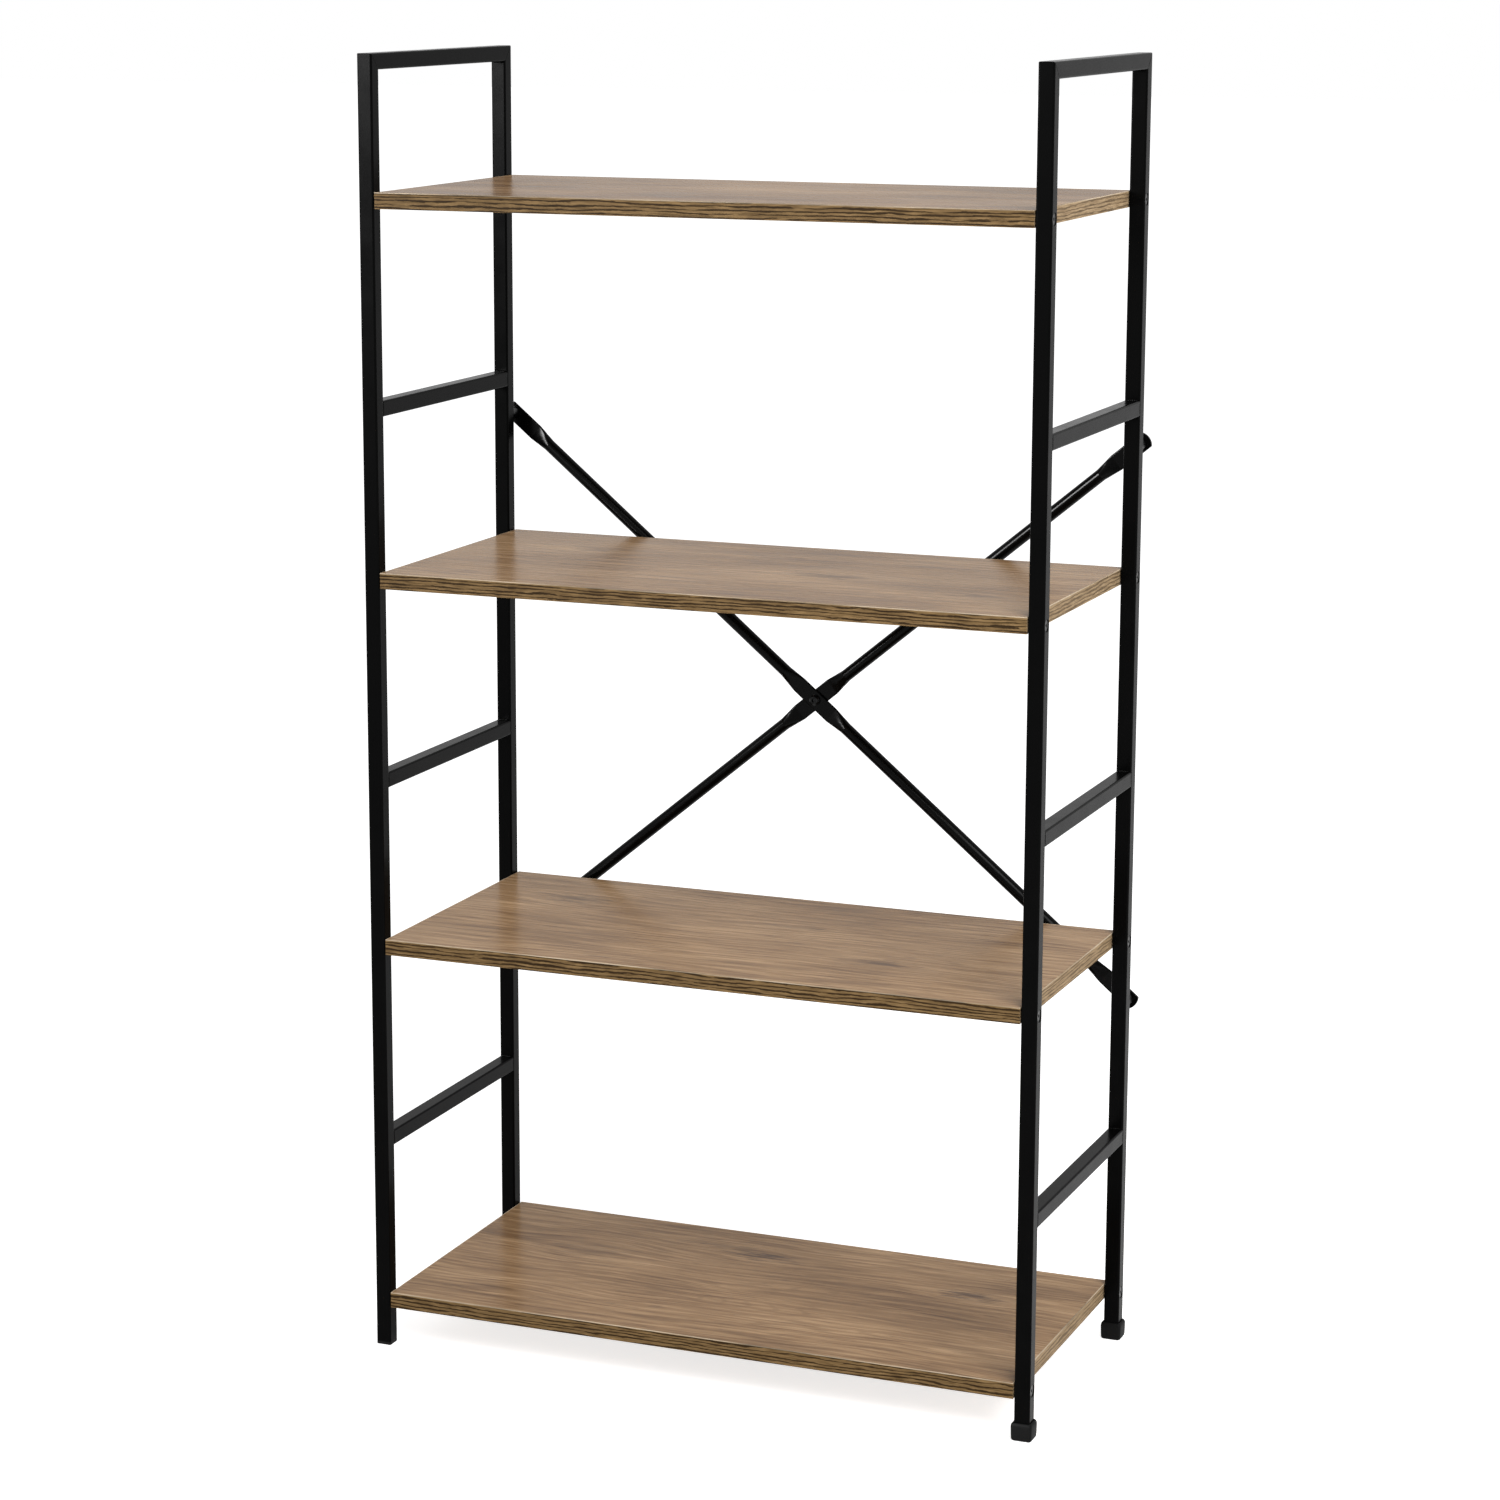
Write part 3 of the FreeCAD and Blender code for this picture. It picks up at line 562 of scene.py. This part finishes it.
# %% [markdown]
# ## Streaks on the edge bands
#
# Thin strips of the same print are glued round each board. On a strip only 15 mm
# high the grain shows as a few dark streaks that run its whole length. They could
# be painted one by one. Here a wave that runs up the strip makes them, one to each
# crest, and noise lets them sway, quiver, crowd together and break off.

# %% Draw the streaks
# Each kind: marks in a metre along the strip and up it, then the noise's detail and roughness.
STRIP = {
    "sway": (9, 60, 2, 0.5),
    "quiver": (60, 170, 3, 0.6),
    "crowding": (5, 200, 1, 0.5),
    "breaks": (34, 280, 3, 0.6),
    "fine": (60, 900, 2, 0.5),
    "wear": (7, 0, 3, 0.5),
}
STREAK_PITCH = 0.0034
STREAK_SWAY = 0.007
STREAK_QUIVER = 0.0026
STREAK_CROWDING = 7.0
STREAK_BREAKS = 3.6
# The slice of the wave that is streak, and how strong the streak is at both sides of it.
STREAK_LEVELS = (0.0, 0.7, 0.0, 0.92)


def strip_grain(tree, run, kind):
    along, up, detail, rough = STRIP[kind]
    return noise(tree, stretched(tree, run, along, 1, up), detail, rough)


def wobble(tree, run, kind, reach):
    return sums(tree, "MULTIPLY", centred(tree, strip_grain(tree, run, kind)), reach)


def edge_streaks(tree, run, height):
    swayed = sums(tree, "ADD", height, wobble(tree, run, "sway", STREAK_SWAY))
    moved = sums(tree, "ADD", swayed, wobble(tree, run, "quiver", STREAK_QUIVER))
    crowding = sums(tree, "MULTIPLY", strip_grain(tree, run, "crowding"), STREAK_CROWDING)
    turns = sums(tree, "ADD", sums(tree, "MULTIPLY", moved, 2 * math.pi / STREAK_PITCH), crowding)
    breaks = wobble(tree, run, "breaks", STREAK_BREAKS)
    weight = sums(tree, "ADD", sums(tree, "SINE", turns), breaks)
    return spread(tree, weight, *STREAK_LEVELS)


print("streaks every", round(STREAK_PITCH * 1000, 1), "mm")

# %% [markdown]
# ## Edge bands
#
# The strips at the ends of the boards are painted a paler tan than the long ones,
# with fainter streaks: painted light for the light that falls on the faces that
# look to the sides. The four strips of a board are one piece, so the finish tells
# them apart by the way they face. Where a strip was trimmed flush, a thin pale line
# is left along the top arris, and it is worn away in places.

# %% Print the edge bands
BAND = {
    "front_dark": (0.11, 0.066, 0.027),
    "front_light": (0.25, 0.158, 0.07),
    # The end colours are painted light: a paler tan for the strips that face the sides.
    "end_dark": (0.235, 0.158, 0.088),
    "end_light": (0.435, 0.312, 0.185),
    "streak": (0.022, 0.012, 0.005),
}
# How far along its endless roll each next strip is cut, in metres.
ROLL_STEP = (2.3, 1.9)
# How squarely a face has to look to the left or right before it counts as an end.
END_FACING = (0.5, 0.8)
STREAKS_ON_ENDS = 0.62
# The pale line starts this far below the top and is full a little higher.
ARRIS_START = 0.0010
ARRIS_FULL = 0.0004
ARRIS_WEAR = (0.36, 0.6, 0.35, 0.95)


def band_tan(tree, fine, strip):
    return ramp(tree, fine, [(0.3, BAND[f"{strip}_dark"]), (0.7, BAND[f"{strip}_light"])])


def edge_band(name, number, top):
    finish, tree, shader, here = new_finish(name)
    axes = add(tree, "SeparateXYZ", {"Vector": here}).outputs
    along = sums(tree, "ADD", sums(tree, "ADD", axes["X"], axes["Y"]), number * ROLL_STEP[0])
    run = add(tree, "CombineXYZ", {"X": along, "Y": number * ROLL_STEP[1], "Z": axes["Z"]}).outputs[0]
    normal = add(tree, "NewGeometry").outputs["Normal"]
    facing = add(tree, "SeparateXYZ", {"Vector": normal}).outputs["X"]
    # Painted light: faces that look to the sides get the paler tan and fainter streaks.
    painted_light_on_ends = spread(tree, sums(tree, "ABSOLUTE", facing), *END_FACING)
    fine = strip_grain(tree, run, "fine")
    colour = blend(tree, painted_light_on_ends, band_tan(tree, fine, "front"), band_tan(tree, fine, "end"))
    streaks = edge_streaks(tree, run, axes["Z"])
    share = sums(tree, "MULTIPLY", streaks, spread(tree, painted_light_on_ends, 0.0, 1.0, 1.0, STREAKS_ON_ENDS))
    colour = ink(tree, colour, share, BAND["streak"])
    worn = spread(tree, strip_grain(tree, run, "wear"), *ARRIS_WEAR)
    arris = spread(tree, axes["Z"], top - ARRIS_START, top - ARRIS_FULL)
    colour = ink(tree, colour, sums(tree, "MULTIPLY", arris, worn), OAK["cream"])
    rough = add(tree, "MapRange", {"Value": fine, "To Min": 0.46, "To Max": 0.6})
    bump = add(tree, "Bump", {"Height": streaks, "Strength": 0.1, "Distance": 0.0002})
    wire(tree, shader, colour, rough.outputs[0], bump)
    shader.inputs["Specular IOR Level"].default_value = 0.02
    return finish


print("edge band colours:", ", ".join(BAND))

# %% [markdown]
# ## Fasteners and feet
#
# The bolts are blackened steel: dark, but with a metal's sheen where the light
# runs round the socket. The inserts and rivet nuts hide inside, and are bright
# zinc. The right legs stand in rubber caps, which are the dullest black on the
# unit, and the left ones are closed with moulded plastic plugs. One plain black
# could do for all of them, but rubber, plastic and steel take the light
# differently.

# %% Mix the fastener and foot finishes
def metal(name, dark, light, dull):
    finish, tree, shader, here = new_finish(name)
    stain = add(tree, "TexNoise", {"Vector": here, "Scale": 420, "Detail": 4}).outputs["Fac"]
    colour = ramp(tree, stain, [(0.35, grey(dark)), (0.7, grey(light))])
    rough = add(tree, "MapRange", {"Value": stain, "To Min": dull, "To Max": dull + 0.15})
    wire(tree, shader, colour, rough.outputs[0])
    shader.inputs["Metallic"].default_value = 1
    return finish


def moulded(name, tone, dull, grit):
    finish, tree, shader, here = new_finish(name)
    texture = add(tree, "TexNoise", {"Vector": here, "Scale": grit, "Detail": 3}).outputs["Fac"]
    colour = ramp(tree, texture, [(0.3, grey(tone * 0.7)), (0.7, grey(tone * 1.5))])
    rough = add(tree, "MapRange", {"Value": texture, "To Min": dull, "To Max": dull + 0.12})
    bump = add(tree, "Bump", {"Height": texture, "Strength": 0.3, "Distance": 0.0002})
    wire(tree, shader, colour, rough.outputs[0], bump)
    shader.inputs["Specular IOR Level"].default_value = 0.07
    return finish


black_steel = metal("blackened_steel", dark=0.004, light=0.014, dull=0.24)
bright_zinc = metal("bright_zinc", dark=0.42, light=0.62, dull=0.28)
cap_rubber = moulded("foot_cap_rubber", tone=0.003, dull=0.55, grit=900)
plug_plastic = moulded("foot_plug_plastic", tone=0.004, dull=0.5, grit=1500)
print("finishes:", black_steel.name, bright_zinc.name, cap_rubber.name, plug_plastic.name)

# %% [markdown]
# ## Giving every CAD piece its finish
#
# The CAD pieces keep their shapes, so dressing them only means filling their
# material slots. The names say what each piece is, so its finish is looked up by
# the last words of the name. Boards and edge bands get a print of their own.

# %% Dress the CAD pieces
def dress(name, finish):
    slots = nodes[name].data.materials
    slots.clear()
    slots.append(finish)


BY_ENDING = {
    "_post": frame_coat, "_rail": frame_coat, "_rung": frame_coat, "_brace": brace_coat,
    "_bolts": black_steel, "_bolt": black_steel, "_nut": black_steel, "_spacers": black_steel,
    "_inserts": bright_zinc, "_rivet_nuts": bright_zinc,
    "_foot_cap": cap_rubber, "_foot_plug": plug_plastic,
}
for name in nodes:
    for ending, finish in BY_ENDING.items():
        if name.endswith(ending):
            dress(name, finish)

for number, tier in enumerate(("bottom", "lower", "upper", "top"), start=1):
    board = f"{tier}_shelf_board"
    bands = f"{tier}_shelf_edge_bands"
    dress(board, oak_paper(f"{tier}_oak_paper", number, KNOTS[tier], GLOSS[tier], BOARD_PAINTED_LIGHT[tier]))
    dress(bands, edge_band(f"{tier}_edge_print", number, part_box(bands)[1][2]))
print("dressed", len(nodes), "pieces")

# %% [markdown]
# ## A weld bead
#
# A weld is a chain of small puddles that set one over the other, and on a coated
# frame it shows as a soft ripple in each inner corner. A bump texture can't stand
# out of a corner, so each bead is a little tube whose thickness swells and shrinks
# along its length, half sunk in the steel. It is made of rings of points, and a
# skin is drawn over the rings.

# %% Make a bead
BEAD_SIDES = 10
STEPS_IN_A_PUDDLE = 5
# How much thinner a bead is between two puddles, how blunt its ends are, and how late they close.
RIPPLE = 0.16
BLUNTNESS = 0.12
END_POWER = 8


def skin_over(form, rings):
    for near, far in zip(rings, rings[1:]):
        for turn in range(len(near)):
            form.faces.new((near[turn], near[turn - 1], far[turn - 1], far[turn]))
    form.faces.new(rings[0])
    form.faces.new(rings[-1][::-1])


def run_bead(form, start, end, radius, puddles):
    line = end - start
    ahead = line.normalized()
    level = ahead.orthogonal().normalized()
    up = ahead.cross(level)
    rings = []
    steps = puddles * STEPS_IN_A_PUDDLE
    for step in range(steps + 1):
        part = step / steps
        swell = 1 - RIPPLE + RIPPLE * abs(math.sin(math.pi * puddles * part))
        close = math.sqrt(max(BLUNTNESS, 1 - (2 * part - 1) ** END_POWER))
        ring = []
        for turn in range(BEAD_SIDES):
            angle = turn * 2 * math.pi / BEAD_SIDES
            out = level * math.cos(angle) + up * math.sin(angle)
            ring.append(form.verts.new(start + line * part + out * radius * swell * close))
        rings.append(ring)
    skin_over(form, rings)


print("a bead has", BEAD_SIDES, "sides and", STEPS_IN_A_PUDDLE, "rings to a puddle")

# %% [markdown]
# ## Welding the frames
#
# The rungs are welded between the posts all round, and the top rails are welded to
# the posts in a mitre, with one bead in the inner corner and a fine ground one
# along the mitre on each side. The beads could be laid by eye, but the boxes of
# rungs and rails say where the corners are. Tube has rounded corners, so each bead
# stops short of them, and on the sides it is sunk a little.

# %% Lay the beads of rungs and rails
# Each kind of bead: its radius and how many puddles it has.
BEADS = {"rung": (0.0014, 6), "rung_side": (0.0011, 7), "rail": (0.0016, 6), "mitre": (0.0006, 9)}
# Half the length of a bead that lies across a tube.
HALF_BEAD = 0.0054
# How deep the beads on a tube's sides are sunk, and how far from its corners they stop.
RUNG_SUNK = 0.0008
RUNG_CORNER = 0.0016
MITRE_SUNK = 0.0004
MITRE_CORNER = 0.0018


def bead_across(form, low, high, y, z, kind):
    middle = (low.x + high.x) / 2
    start = Vector((middle - HALF_BEAD, y, z))
    run_bead(form, start, Vector((middle + HALF_BEAD, y, z)), *BEADS[kind])


def weld_rung(form, low, high):
    for y in (low.y, high.y):
        for z in (low.z, high.z):
            bead_across(form, low, high, y, z, "rung")
        for x in (low.x + RUNG_SUNK, high.x - RUNG_SUNK):
            start = Vector((x, y, low.z + RUNG_CORNER))
            run_bead(form, start, Vector((x, y, high.z - RUNG_CORNER)), *BEADS["rung_side"])


def weld_mitres(form, low, high):
    wide = high.z - low.z
    for outer, inner in ((low.y, low.y + wide), (high.y, high.y - wide)):
        bead_across(form, low, high, inner, low.z, "rail")
        short = math.copysign(MITRE_CORNER, outer - inner)
        for x in (low.x + MITRE_SUNK, high.x - MITRE_SUNK):
            start = Vector((x, inner + short, low.z + MITRE_CORNER))
            end = Vector((x, outer - short, high.z - MITRE_CORNER))
            run_bead(form, start, end, *BEADS["mitre"])


print("kinds of beads:", ", ".join(BEADS))

# %% [markdown]
# ## The beads as pieces
#
# So far a bead is only a form. To be a piece of the unit it needs a mesh, a name
# and a finish, it has to ride on the unit's body, and its slot says which finish
# of the part it belongs to. Each bead could be a piece of its own, but all welds
# of a frame are coated with it in one go, so they are one piece for each frame.

# %% Weld the two frames
def shown_piece(name, form, finish):
    bmesh.ops.recalc_face_normals(form, faces=form.faces)
    mesh = bpy.data.meshes.new(name)
    form.to_mesh(mesh)
    form.free()
    for face in mesh.polygons:
        face.use_smooth = True
    mesh.materials.append(finish)
    piece = bpy.data.objects.new(name, mesh)
    bpy.context.collection.objects.link(piece)
    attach(piece, "root")
    return piece


for side in ("left", "right"):
    beads = bmesh.new()
    for rung in ("lower_rung", "middle_rung", "upper_rung"):
        low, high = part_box(f"{side}_{rung}")
        weld_rung(beads, low, high)
    low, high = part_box(f"{side}_top_rail")
    weld_mitres(beads, low, high)
    welds = shown_piece(f"{side}_weld_beads", beads, frame_coat)
    print(welds.name, "with", len(welds.data.polygons), "faces")

# %% [markdown]
# ## Soft foot caps
#
# The right legs end in rubber caps. Rubber has no sharp edges: the cap bulges a
# little where the tube stretches it, its rim is thin and rounded, and its sole is
# worn round. The CAD cap gives the place, and the mould has the CAD cap's size. A
# sharp block could be rounded with a bevel, but sole, wall and rim are rounded
# differently. So a rounded square is drawn at each height of the cap's profile,
# and a skin goes over the squares.

# %% Mould the caps
# Each point: the height above the floor and half the width there, up the outside and down the inside.
CAP_SOLE = ((0.0, 0.0070), (0.0, 0.0084), (0.0003, 0.0090), (0.0010, 0.0095), (0.0020, 0.0097))
CAP_WALL = ((0.0060, 0.0099), (0.0110, 0.0100), (0.0140, 0.0100))
CAP_RIM = ((0.0152, 0.0098), (0.0160, 0.0094), (0.0168, 0.0087), (0.0170, 0.0083),
           (0.0169, 0.0080), (0.0164, 0.0078), (0.0155, 0.0077))
CAP_INSIDE = ((0.0034, 0.0077), (0.0032, 0.0066))
# The radius of the corners, the most of the half width that it takes, and the steps round each.
CAP_CORNER = 0.0026
CORNER_SHARE = 0.28
CORNER_STEPS = 6


def rounded_square(form, centre, height, half):
    corner = min(CAP_CORNER, half * CORNER_SHARE)
    flat = half - corner
    ring = []
    for quarter, (x_side, y_side) in enumerate(((1, 1), (-1, 1), (-1, -1), (1, -1))):
        for step in range(CORNER_STEPS + 1):
            angle = math.radians(90 * quarter + 90 / CORNER_STEPS * step)
            ring.append(form.verts.new((
                centre.x + flat * x_side + corner * math.cos(angle),
                centre.y + flat * y_side + corner * math.sin(angle),
                height)))
    return ring


for end in ("front", "rear"):
    node = f"right_{end}_foot_cap"
    low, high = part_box(node)
    cap = bmesh.new()
    profile = CAP_SOLE + CAP_WALL + CAP_RIM + CAP_INSIDE
    skin_over(cap, [rounded_square(cap, (low + high) / 2, low.z + z, half) for z, half in profile])
    moulding = shown_piece(f"right_{end}_rubber_cap", cap, cap_rubber)
    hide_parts(node)
    print(moulding.name, "in place of", node)
